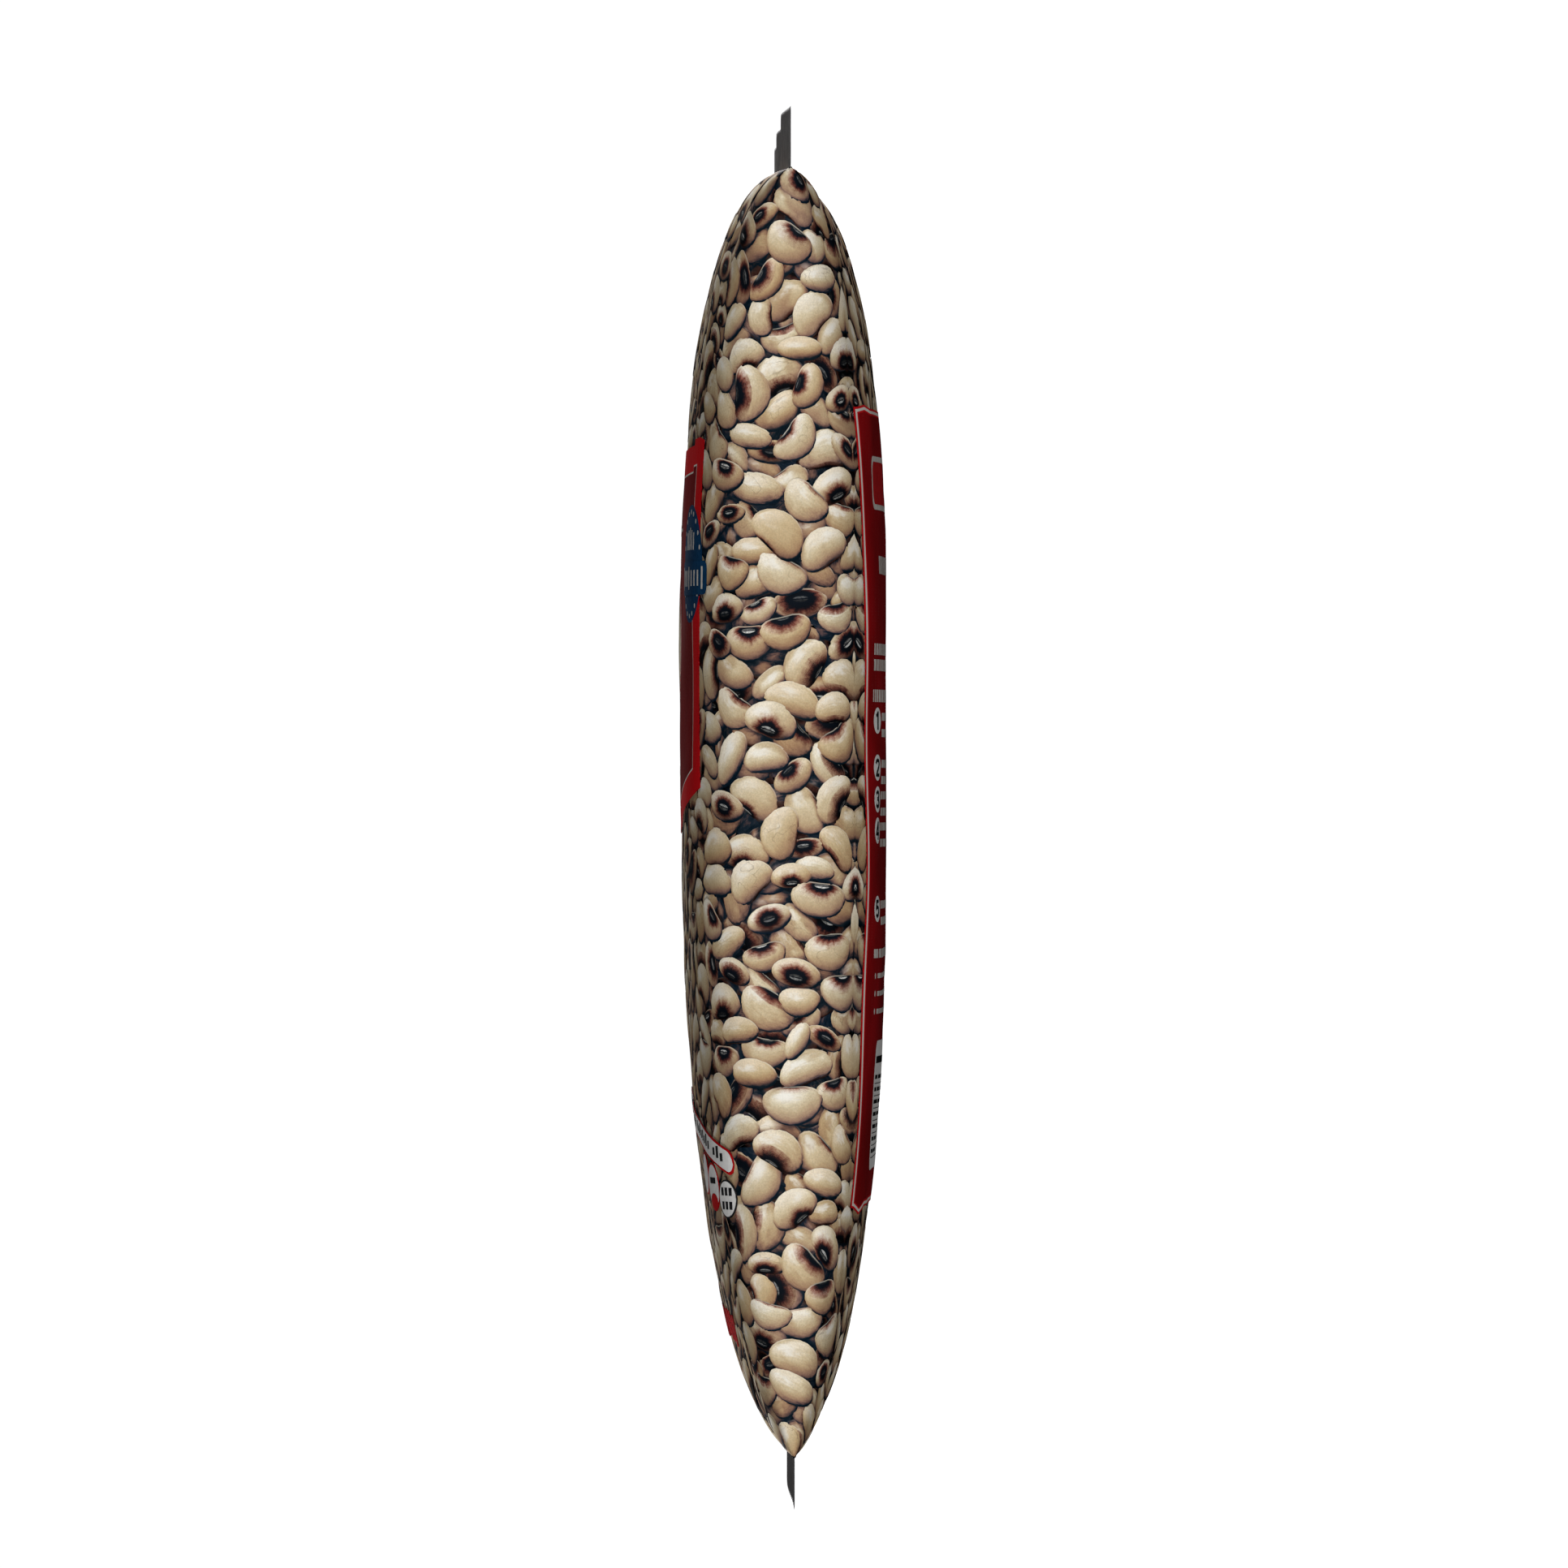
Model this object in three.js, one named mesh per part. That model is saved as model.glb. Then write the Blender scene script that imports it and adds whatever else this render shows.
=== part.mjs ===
// A filled pillow bag of frozen black-eyed peas, lying on its back. It is one tube of film, pressed flat and
// sealed across both ends, so it is one closed solid. Units are millimetres and +Z is up. The bag's length runs
// along X with the top seal at +X, its front faces up, and its origin is under its middle, on the surface
// that it lies on.
//
// The film doesn't stretch, so every section across the bag has the same distance round it. A section is a
// superellipse: the thickness along the bag is given, and the width follows from the distance round.

import * as THREE from "three";

// Driving dimensions.
const BAG_LENGTH = 280; // from cut edge to cut edge
const FLAT_WIDTH = 200; // of the empty tube, which is also the length of each seal
const FULL_THICKNESS = 42.1; // where the bag is fullest
const FULLEST_X = 18.6; // nearer the top seal than the bottom one
const TOP_SEAL = 12.2;
const BOTTOM_SEAL = 10.2;
const SEAL_THICKNESS = 0.7;
const PRESSED_FLAT = 0.45; // how far the lowest film is pushed up by what it lies on

// Section and side profile.
const ROUNDNESS = 3.5; // exponent of the superellipse: 2 is an ellipse, more is boxier
const TOP_TAPER = { power: 3.116, bluntness: 0.474 };
const BOTTOM_TAPER = { power: 2.892, bluntness: 0.593 };
const BOTTOM_SET_BACK = 1.5; // how far the bottom seal lies behind the bag's mid-plane

// Low waves in the film. A wave's count is how many times it goes round the bag.
const PLEAT_HEIGHT = 0.75;
const PLEAT_REACH = 15; // from a seal to where the pleats have mostly faded
const PLEATS = [
  { count: 17, phase: 0.7, share: 0.5 },
  { count: 26, phase: 2.1, share: 0.3 },
  { count: 9, phase: 4.0, share: 0.2 },
];
const DENT_HEIGHT = 0.25;
const DENTS = [
  { count: 7, length: 61, phase: 0.4, share: 0.6 },
  { count: 11, length: -43, phase: 1.9, share: 0.4 },
];

// How finely the film is divided.
const STEPS_ROUND = 104;
const BODY_STEPS = 40;
const SEAL_STEPS = 3;
const CROWDING = 0.85; // 0 spaces the body's rings evenly, and 1 crowds them most at the seals
const ARC_SAMPLES = 400;

const bodyStart = -BAG_LENGTH / 2 + BOTTOM_SEAL;
const bodyEnd = BAG_LENGTH / 2 - TOP_SEAL;

const lerp = THREE.MathUtils.lerp;

// Half the bag's thickness at x. It falls to half a seal's thickness at the seals and along them.
function halfThickness(x) {
  const towardsTop = x > FULLEST_X;
  const reach = towardsTop ? bodyEnd - FULLEST_X : FULLEST_X - bodyStart;
  const taper = towardsTop ? TOP_TAPER : BOTTOM_TAPER;
  const share = Math.min(Math.abs(x - FULLEST_X) / reach, 1);
  const filled = (FULL_THICKNESS / 2) * (1 - share ** taper.power) ** taper.bluntness;
  return Math.max(filled, SEAL_THICKNESS / 2);
}

// A quarter of a section, from the side fold to the middle of the front, as points with their distance
// along the film.
function quarterSection(halfWidth, half) {
  const points = [];
  let along = 0;
  for (let i = 0; i <= ARC_SAMPLES; i++) {
    const angle = (Math.PI / 2) * (i / ARC_SAMPLES);
    const y = halfWidth * Math.cos(angle) ** (2 / ROUNDNESS);
    const z = half * Math.sin(angle) ** (2 / ROUNDNESS);
    if (i) along += Math.hypot(y - points[i - 1].y, z - points[i - 1].z);
    points.push({ y, z, along });
  }
  return points;
}

// The section whose distance round is the tube's, found by halving the range of its width.
function filmSection(half) {
  let narrow = FLAT_WIDTH / 4;
  let wide = FLAT_WIDTH / 2;
  for (let i = 0; i < 40; i++) {
    const middle = (narrow + wide) / 2;
    const points = quarterSection(middle, half);
    if (points[ARC_SAMPLES].along > FLAT_WIDTH / 2) wide = middle;
    else narrow = middle;
  }
  return quarterSection(narrow, half);
}

// The point of a quarter section at a distance along the film.
function pointAlong(points, distance) {
  let i = 1;
  while (i < ARC_SAMPLES && points[i].along < distance) i++;
  const [before, after] = [points[i - 1], points[i]];
  const share = THREE.MathUtils.clamp((distance - before.along) / (after.along - before.along), 0, 1);
  return { y: lerp(before.y, after.y, share), z: lerp(before.z, after.z, share) };
}

// The seals wave gently out of the mid-plane, and the body follows them where it meets them.
function sealWave(x, y) {
  const topWave = 0.35 + 0.011 * y + 0.7 * Math.sin((2 * Math.PI * (y + 80)) / 85);
  const bottomWave = 0.65 * Math.cos((2 * Math.PI * (y - 13)) / 226);
  const nearTop = Math.exp(-Math.max(bodyEnd - x, 0) / 7);
  const nearBottom = Math.exp(-Math.max(x - bodyStart, 0) / 7);
  return topWave * nearTop + bottomWave * nearBottom;
}

// How far the mid-plane is set back at x: nothing at the fullest place, and most at the bottom seal.
function setBack(x) {
  const share = Math.max(FULLEST_X - x, 0) / (FULLEST_X - bodyStart);
  return BOTTOM_SET_BACK * Math.min(share, 1) ** 2;
}

// Height of the pleats and dents at a distance round the film. They die away at the seals themselves.
function filmRelief(x, round) {
  const turn = (2 * Math.PI * round) / (2 * FLAT_WIDTH);
  const fromSeal = Math.min(bodyEnd - x, x - bodyStart);
  if (fromSeal <= 0) return 0;
  const risen = fromSeal / PLEAT_REACH;
  const gathered = 2 * risen * Math.exp(-risen * 1.4);
  const pleats = PLEATS.reduce((sum, p) => sum + p.share * Math.cos(p.count * turn + p.phase), 0);
  const dents = DENTS.reduce(
    (sum, d) => sum + d.share * Math.cos(d.count * turn + (2 * Math.PI * x) / d.length + d.phase),
    0,
  );
  return PLEAT_HEIGHT * gathered * pleats + DENT_HEIGHT * Math.min(risen, 1) * dents;
}

// One ring of points round the bag at x, from the middle of the front round to it again.
function ringAt(x) {
  const half = halfThickness(x);
  const quarter = filmSection(half);
  const ring = [];
  for (let i = 0; i < STEPS_ROUND; i++) {
    const round = 2 * FLAT_WIDTH * (i / STEPS_ROUND);
    const front = round <= FLAT_WIDTH / 2 || round > 1.5 * FLAT_WIDTH;
    const left = round > FLAT_WIDTH;
    const fromFold = Math.abs(Math.abs(round - FLAT_WIDTH) - FLAT_WIDTH / 2);
    const flat = pointAlong(quarter, fromFold);
    const outward = new THREE.Vector2(
      Math.sign(flat.y) * (flat.y / quarter[0].y) ** (ROUNDNESS - 1) * half,
      (flat.z / half) ** (ROUNDNESS - 1) * quarter[0].y,
    ).normalize();
    const relief = filmRelief(x, round);
    const y = (flat.y + outward.x * relief) * (left ? 1 : -1);
    const z = (flat.z + outward.y * relief) * (front ? 1 : -1);
    ring.push(new THREE.Vector3(x, y, z + sealWave(x, y) - setBack(x)));
  }
  return ring;
}

// Places along the bag: even in each seal, and closer together in the body near the seals.
function stations() {
  const places = [];
  for (let i = 0; i < SEAL_STEPS; i++) places.push(lerp(-BAG_LENGTH / 2, bodyStart, i / SEAL_STEPS));
  for (let i = 0; i <= BODY_STEPS; i++) {
    const even = i / BODY_STEPS;
    const crowded = (1 - Math.cos(Math.PI * even)) / 2;
    places.push(lerp(bodyStart, bodyEnd, lerp(even, crowded, CROWDING)));
  }
  for (let i = 1; i <= SEAL_STEPS; i++) places.push(lerp(bodyEnd, BAG_LENGTH / 2, i / SEAL_STEPS));
  return places;
}

// Faces between neighbouring rings, each four-sided patch cut along its shorter diagonal, and across the cut
// edge at each end, whose ring is two layers of film.
function filmFaces(points) {
  const faces = [];
  const n = STEPS_ROUND;
  const last = points.length - n;
  for (let row = 0; row < last; row += n) {
    for (let i = 0; i < n; i++) {
      const [a, b] = [row + i, row + ((i + 1) % n)];
      const [c, d] = [a + n, b + n];
      const leaning = points[b].distanceTo(points[c]) < points[a].distanceTo(points[d]);
      if (leaning) faces.push(a, b, c, b, d, c);
      else faces.push(a, b, d, a, d, c);
    }
  }
  for (let i = -n / 4; i < n / 4; i++) {
    const [front, nextFront] = [(i + n) % n, (i + 1 + n) % n];
    const [back, nextBack] = [n / 2 - i, n / 2 - i - 1];
    const edge = [
      [front, back, nextFront],
      [nextFront, back, nextBack],
    ];
    for (const [p, q, s] of edge) {
      if (p === q || q === s || p === s) continue;
      faces.push(p, q, s, last + p, last + s, last + q);
    }
  }
  return faces;
}

// The whole bag, with the film's lowest part pressed flat, moved so that it lies on the origin's plane.
function bagGeometry() {
  const points = stations().flatMap(ringAt);
  const lowest = Math.min(...points.map((p) => p.z));
  for (const p of points) p.z = Math.max(p.z, lowest + PRESSED_FLAT);
  const geometry = new THREE.BufferGeometry().setFromPoints(points);
  geometry.setIndex(filmFaces(points));
  geometry.computeBoundingBox();
  const { min, max } = geometry.boundingBox;
  geometry.translate(-(min.x + max.x) / 2, -(min.y + max.y) / 2, -min.z);
  geometry.computeVertexNormals();
  return geometry;
}

const printedFilm = new THREE.MeshStandardMaterial({ color: 0xb39c75, roughness: 0.45, metalness: 0 });

const bag = new THREE.Mesh(bagGeometry(), printedFilm);
bag.name = "bag";

const root = new THREE.Group();
root.add(bag);

export default root;
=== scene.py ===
import math

import bpy
import numpy as np
from mathutils import Matrix, Vector


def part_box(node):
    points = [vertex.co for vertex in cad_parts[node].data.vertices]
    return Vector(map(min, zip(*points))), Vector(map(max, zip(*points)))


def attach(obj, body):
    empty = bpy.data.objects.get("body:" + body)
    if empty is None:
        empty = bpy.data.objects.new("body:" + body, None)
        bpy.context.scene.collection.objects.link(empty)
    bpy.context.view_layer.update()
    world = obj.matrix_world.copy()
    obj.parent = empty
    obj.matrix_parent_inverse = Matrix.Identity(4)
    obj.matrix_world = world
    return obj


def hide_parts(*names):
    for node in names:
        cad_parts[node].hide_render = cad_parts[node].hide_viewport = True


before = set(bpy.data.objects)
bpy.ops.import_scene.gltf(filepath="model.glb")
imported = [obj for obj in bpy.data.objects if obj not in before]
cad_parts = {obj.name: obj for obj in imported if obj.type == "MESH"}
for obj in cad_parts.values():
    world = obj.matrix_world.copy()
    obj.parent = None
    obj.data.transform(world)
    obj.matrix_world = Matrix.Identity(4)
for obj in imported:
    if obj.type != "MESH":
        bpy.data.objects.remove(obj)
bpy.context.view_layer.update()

# A filled pillow bag of frozen black-eyed peas, lying on its back. Its film is one mesh, made by the same
# formulas as the solid, and its print lies on the film in relief a fraction of a millimetre high: a picture
# of heaped peas, a label on the front and one on the back. Sizes are in millimetres until a mesh is made.
#
# Places on the film have two coordinates. x is the place along the bag, the same as in the frame. u is the
# distance round it: 0 along the middle of the front, a quarter of the way round at the fold that faces -Y,
# and half way round, either way, along the middle of the back.

MM = 0.001
low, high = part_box("bag")

# The film, as in the solid, whose seals are thicker.
LENGTH = (high.x - low.x) / MM
WIDTH = float(round((high.y - low.y) / MM))  # of the empty tube, and the length of each seal
FULL_THICKNESS = 42.1
FULLEST_X = 18.6
TOP_SEAL = 12.2
BOTTOM_SEAL = 10.2
SEAL_THICKNESS = 0.25
PRESSED_FLAT = 0.45
ROUNDNESS = 3.5
TOP_TAPER = (3.116, 0.474)
BOTTOM_TAPER = (2.892, 0.593)
BOTTOM_SET_BACK = 1.5
PLEAT_HEIGHT = 0.75
PLEAT_REACH, PLEAT_FADE = 15, 1.4
PLEATS = ((17, 0.7, 0.5), (26, 2.1, 0.3), (9, 4.0, 0.2))  # count, phase, share
DENT_HEIGHT = 0.25
DENTS = ((7, 61, 0.4, 0.6), (11, -43, 1.9, 0.4))  # count, length, phase, share
TOP_RISE, TOP_LEAN = 0.35, 0.011
TOP_WAVE = (0.7, 80, 85)  # height, shift, length
BOTTOM_WAVE = (0.65, -13, 226)
WAVE_REACH = 7
BODY_START = -LENGTH / 2 + BOTTOM_SEAL
BODY_END = LENGTH / 2 - TOP_SEAL

# Heights above the film's own surface.
PEA_LOW, PEA_HIGH = -0.28, 0.03  # of the lowest and the highest rim of the peas that the print pictures
PEA_CROWN = 0.03  # of a pea's middle above its rim
PEA_TUCK = 0.12  # how far a pea's surface dips where another pea covers it
LABEL_BASE, LABEL_LIFT = -0.02, 0.10  # the underside and the top of a label
MARK_BASE = LABEL_LIFT - 0.02  # the underside of a mark on a label
MARK_LIFT = 0.025  # between one layer of marks and the next
LIFT = 0.30  # of the film above the ground, so that the print under it has room
SUNK = 0.48  # how far the print's dark ground lies under that surface, inside the body

# The print.
JOIN = 117.5  # where the picture of the peas is cut and goes on mirrored
PEA_COUNT = 5800
PEA_REACH = 7.0  # no pea reaches further from its middle
PEA_LOOKS, PEA_TRIES = 260, 16  # places looked at for each pea, and how many of the lowest it is tried in
LOOK_AROUND = ((0, 0), (5, 0), (-5, 0), (0, 5), (0, -5))  # the cells that show how low a place is
PEA_SWELL = 1.13  # how much larger a pea is drawn than it is heaped, so that the peas close up
LEAST_CELLS = 5  # a pea is made if more cells than this show it
HEAP_CELL = 0.5
PICTURE_LIGHT = Vector((-0.36, 0.77, 0.53)).normalized()  # along u, along x and out of the film
PICTURE_SHEEN = (PICTURE_LIGHT + Vector((0, 0, 1))).normalized()  # the way a pea's brightest spot faces


# ---- The film's shape ----


def half_thickness(x):
    """Half the bag's thickness at x."""
    to_top = x > FULLEST_X
    reach = np.where(to_top, BODY_END - FULLEST_X, FULLEST_X - BODY_START)
    share = np.minimum(np.abs(x - FULLEST_X) / reach, 1)
    power = np.where(to_top, TOP_TAPER[0], BOTTOM_TAPER[0])
    bluntness = np.where(to_top, TOP_TAPER[1], BOTTOM_TAPER[1])
    return np.maximum(FULL_THICKNESS / 2 * (1 - share**power) ** bluntness, SEAL_THICKNESS / 2)


ANGLES = np.linspace(0, math.pi / 2, 401)
ACROSS = np.cos(ANGLES).clip(0) ** (2 / ROUNDNESS)
UPWARD = np.sin(ANGLES) ** (2 / ROUNDNESS)


def half_widths(half):
    """Half the width of each section whose distance round is the tube's, by halving the range."""
    narrow = np.full_like(half, WIDTH / 4)
    wide = np.full_like(half, WIDTH / 2)
    for _ in range(40):
        middle = (narrow + wide) / 2
        steps = np.hypot(middle[:, None] * np.diff(ACROSS), half[:, None] * np.diff(UPWARD))
        too_long = steps.sum(1) > WIDTH / 2
        wide = np.where(too_long, middle, wide)
        narrow = np.where(too_long, narrow, middle)
    return narrow


def seal_wave(x, y):
    """How far the seals, and the body next to them, wave out of the middle plane."""
    top = TOP_RISE + TOP_LEAN * y + TOP_WAVE[0] * np.sin(2 * math.pi * (y + TOP_WAVE[1]) / TOP_WAVE[2])
    bottom = BOTTOM_WAVE[0] * np.cos(2 * math.pi * (y + BOTTOM_WAVE[1]) / BOTTOM_WAVE[2])
    near_top = np.exp(-np.maximum(BODY_END - x, 0) / WAVE_REACH)
    near_bottom = np.exp(-np.maximum(x - BODY_START, 0) / WAVE_REACH)
    return top * near_top + bottom * near_bottom


def set_back(x):
    """How far the middle plane is set back towards the bottom seal."""
    share = np.maximum(FULLEST_X - x, 0) / (FULLEST_X - BODY_START)
    return BOTTOM_SET_BACK * np.minimum(share, 1) ** 2


def film_relief(x, u):
    """Height of the pleats and dents."""
    turn = math.pi * u / WIDTH
    risen = np.maximum(np.minimum(BODY_END - x, x - BODY_START), 0) / PLEAT_REACH
    pleats = sum(share * np.cos(count * turn + phase) for count, phase, share in PLEATS)
    dents = sum(
        share * np.cos(count * turn + 2 * math.pi * x / length + phase)
        for count, length, phase, share in DENTS
    )
    gathered = 2 * risen * np.exp(-risen * PLEAT_FADE)
    return PLEAT_HEIGHT * gathered * pleats + DENT_HEIGHT * np.minimum(risen, 1) * dents


def film_grid(xs, us):
    """Points of the film at every x and u, before it settles on the ground."""
    half = half_thickness(xs)
    wide = half_widths(half)
    from_fold = np.abs(WIDTH / 2 - np.abs(us))
    y = np.empty((len(xs), len(us)))
    z = np.empty_like(y)
    for i, (b, a) in enumerate(zip(half, wide)):
        steps = np.hypot(a * np.diff(ACROSS), b * np.diff(UPWARD))
        along = np.concatenate([[0], np.cumsum(steps)])
        y[i] = np.interp(from_fold, along, a * ACROSS)
        z[i] = np.interp(from_fold, along, b * UPWARD)
    a, b = wide[:, None], half[:, None]
    lean_y = (y / a) ** (ROUNDNESS - 1) * b
    lean_z = (z / b) ** (ROUNDNESS - 1) * a
    relief = film_relief(xs[:, None], us[None, :]) / np.hypot(lean_y, lean_z)
    y = (y + lean_y * relief) * np.where(us > 0, -1, 1)
    z = (z + lean_z * relief) * np.where(np.abs(us) <= WIDTH / 2, 1, -1)
    x = np.broadcast_to(xs[:, None], y.shape)
    z = z + seal_wave(x, y) - set_back(x)
    return np.stack([x, y, z], -1)


def along_bag(bottom_rows, body_rows, top_rows):
    """Places along the bag: even in each seal, and crowded in the body towards both seals."""
    even = np.linspace(0, 1, body_rows)
    share = even * (1 - CROWDING) + (1 - np.cos(math.pi * even)) / 2 * CROWDING
    bottom = np.linspace(-LENGTH / 2, BODY_START, bottom_rows)[:-1]
    top = np.linspace(BODY_END, LENGTH / 2, top_rows)[1:]
    return np.concatenate([bottom, BODY_START + (BODY_END - BODY_START) * share, top])


CROWDING = 0.8  # from 0, even, to 1
U_STEP = 0.5
TABLE_U = np.arange(-WIDTH, WIDTH, U_STEP)
TABLE_X = along_bag(12, 520, 13)
film_table = film_grid(TABLE_X, TABLE_U)
ground_level = film_table[..., 2].min() + PRESSED_FLAT


def settle(points):
    """Stands raw film points on the ground, pressed flat where they would reach below it."""
    points[..., 2] = np.maximum(points[..., 2] - ground_level, 0) + LIFT
    return points


def facing(grid):
    """Outward normals of a grid of film points that closes on itself along its second axis."""
    along = np.gradient(grid, axis=0)
    around = np.roll(grid, -1, 1) - np.roll(grid, 1, 1)
    normal = np.cross(around, along)
    return normal / np.linalg.norm(normal, axis=-1, keepdims=True)


settle(film_table)
normal_table = facing(film_table)


def on_film(u, x):
    """Points of the settled film and its outward normals at places on it, from the tables."""
    row = np.interp(x, TABLE_X, np.arange(len(TABLE_X)))
    column = (u + WIDTH) % (2 * WIDTH) / U_STEP
    r = np.minimum(row.astype(int), len(TABLE_X) - 2)
    c = column.astype(int) % len(TABLE_U)
    d = (c + 1) % len(TABLE_U)
    s = (row - r)[..., None]
    t = (column % 1)[..., None]
    place, normal = (
        (k[r, c] * (1 - t) + k[r, d] * t) * (1 - s) + (k[r + 1, c] * (1 - t) + k[r + 1, d] * t) * s
        for k in (film_table, normal_table)
    )
    return place, normal / np.linalg.norm(normal, axis=-1, keepdims=True)


def raised(u, x, height):
    """Points at a height above the film, none of them below the ground, and the film's normals there."""
    place, normal = on_film(u, x)
    place = place + normal * np.asarray(height)[..., None]
    place[..., 2] = np.maximum(place[..., 2], 0)
    return place, normal


# ---- Making pieces ----


def make_piece(name, points, faces, material, normals=None, **facts):
    """A piece of the bag from points in millimetres and faces of one length, with facts at each point."""
    mesh = bpy.data.meshes.new(name)
    mesh.vertices.add(len(points))
    mesh.vertices.foreach_set("co", (points * MM).astype(np.float32).ravel())
    mesh.loops.add(faces.size)
    mesh.loops.foreach_set("vertex_index", faces.astype(np.int32).ravel())
    mesh.polygons.add(len(faces))
    mesh.polygons.foreach_set("loop_start", np.arange(0, faces.size, faces.shape[1], dtype=np.int32))
    mesh.polygons.foreach_set("use_smooth", np.ones(len(faces), dtype=bool))
    for fact, values in facts.items():
        layer = mesh.attributes.new(fact, "FLOAT_VECTOR", "POINT")
        layer.data.foreach_set("vector", values.astype(np.float32).ravel())
    mesh.update(calc_edges=True)
    mesh.validate()
    if normals is not None:
        mesh.normals_split_custom_set_from_vertices(normals.astype(np.float32))
    mesh.materials.append(material)
    piece = bpy.data.objects.new(name, mesh)
    bpy.context.scene.collection.objects.link(piece)
    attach(piece, "root")
    return piece


def grid_faces(rows, columns, closed=False):
    """Four-sided faces of a grid of points, which may close on itself along its second axis."""
    r, c = np.meshgrid(np.arange(rows - 1), np.arange(columns if closed else columns - 1), indexing="ij")
    a = r * columns + c
    b = r * columns + (c + 1) % columns
    return np.stack([a, b, b + columns, a + columns], -1).reshape(-1, 4)


class Pad:
    """Thin closed pads of print, gathered into one mesh. Each is a grid of places on the film."""

    def __init__(self):
        self.points, self.faces, self.normals = [], [], []
        self.count = 0

    def add(self, u, x, bottom, top):
        """A pad over a grid of places, between two heights above the film."""
        rows, columns = u.shape
        u, x = u.ravel(), x.ravel()
        for height in (top, bottom):
            place, normal = raised(u, x, np.full(u.shape, height))
            self.points.append(place)
            self.normals.append(normal)
        face = grid_faces(rows, columns)
        edge = np.concatenate(
            [
                np.arange(columns),
                np.arange(1, rows) * columns + columns - 1,
                np.arange(columns - 2, -1, -1) + (rows - 1) * columns,
                np.arange(rows - 2, 0, -1) * columns,
            ]
        )
        beyond = np.roll(edge, -1)
        under = rows * columns
        wall = np.stack([beyond, edge, edge + under, beyond + under], -1)
        self.faces.append(np.concatenate([face, face[:, ::-1] + under, wall]) + self.count)
        self.count += 2 * under

    def finish(self, name, material, **facts):
        points, faces, normals = (np.concatenate(part) for part in (self.points, self.faces, self.normals))
        make_piece(name, points, faces, material, normals, **facts)


PAD_STEP = 1.6  # so fine that a flat face of a mark doesn't cut into the curved film


def span(start, end, step):
    """Places from start to end about a step apart."""
    return np.linspace(start, end, max(2, int(math.ceil(abs(end - start) / step)) + 1))


def block(us, lower, upper, step=PAD_STEP):
    """A grid of places between two edges, which are arrays over us."""
    rows = max(2, int(math.ceil(np.max(upper - lower) / step)) + 1)
    share = np.linspace(0, 1, rows)[:, None]
    x = lower * (1 - share) + upper * share
    return np.broadcast_to(us, x.shape).copy(), x


def oval(u, x, half_u, half_x):
    """A grid of places that fills an oval."""
    turn = np.linspace(math.pi - 0.05, 0.05, 2 * max(7, int(half_u * 1.6)) + 1)
    us = u + half_u * np.cos(turn)
    reach = half_x * np.sin(turn)
    return block(us, x - reach, x + reach)


def bar(u0, u1, x0, x1):
    """A grid of places that fills a bar between four edges."""
    us = span(u0, u1, PAD_STEP)
    return block(us, np.full(us.shape, float(x0)), np.full(us.shape, float(x1)))


def letter(u, x, half_u, half_x):
    """A bar round its middle."""
    return bar(u - half_u, u + half_u, x - half_x, x + half_x)


def round_bar(u, x, half_u, half_x, radius):
    """A grid of places that fills a bar with round corners."""
    corner = radius * (1 - np.cos(np.linspace(0, math.pi / 2, 6)))
    middle = span(-half_u + radius, half_u - radius, PAD_STEP)[1:-1]
    us = np.concatenate([-half_u + corner, middle, half_u - corner[::-1]])
    into = (half_u - np.abs(us)).clip(0, radius)
    reach = half_x - radius + np.sqrt(radius**2 - (radius - into) ** 2)
    return block(u + us, x - reach, x + reach)


def stroke(line, half):
    """A grid of places along a line of corners, half a width to each side of it."""
    steps = [np.linspace(a, b, 5)[:-1] for a, b in zip(line[:-1], line[1:])]
    points = np.concatenate([*steps, [line[-1]]])
    along = np.diff(points, axis=0)
    side = np.stack([-along[:, 1], along[:, 0]], -1) / np.linalg.norm(along, axis=-1)[:, None]
    side = np.concatenate([2 * side[:1], side[:-1] + side[1:], 2 * side[-1:]])
    side *= 2 / (side**2).sum(-1).clip(1.2)[:, None]
    grid = points + half * np.array((-1, 0, 1))[:, None, None] * side
    return grid[..., 0], grid[..., 1]


# ---- Materials ----

# Colours, as (where, red, green, blue) along a value that the material works out.
GROUND_COLOURS = ((0.35, 0.001, 0.003, 0.006), (0.6, 0.006, 0.012, 0.020), (0.75, 0.03, 0.026, 0.026))
SEAL_COLOURS = ((0.3, 0.087, 0.084, 0.086), (0.5, 0.126, 0.122, 0.124), (0.72, 0.175, 0.170, 0.172))
SKIN_COLOURS = (
    (0.00, 0.001, 0.008, 0.017),
    (0.07, 0.010, 0.019, 0.031),
    (0.13, 0.082, 0.053, 0.055),
    (0.24, 0.228, 0.134, 0.104),
    (0.40, 0.378, 0.252, 0.160),
    (0.58, 0.500, 0.390, 0.242),
    (0.76, 0.635, 0.555, 0.382),
    (1.00, 0.850, 0.805, 0.685),
)
STAIN_COLOURS = (
    (0.43, 0.004, 0.007, 0.012),
    (0.50, 0.062, 0.019, 0.018),
    (0.60, 0.245, 0.080, 0.056),
    (0.80, 0.500, 0.270, 0.165),
)
TOP_SEAL_TINT = (2.0, 2.0, 2.0)  # the top seal is paler than the bottom one
RED = (0.66, 0.006, 0.010)
PALE = (0.78, 0.74, 0.68)
DEEP_RED = ((0.170, 0.0012, 0.0022), (0.220, 0.0020, 0.0036))  # the darkest and lightest of each field
DARK_RED = ((0.250, 0.0014, 0.0030), (0.330, 0.0022, 0.0048))
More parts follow.
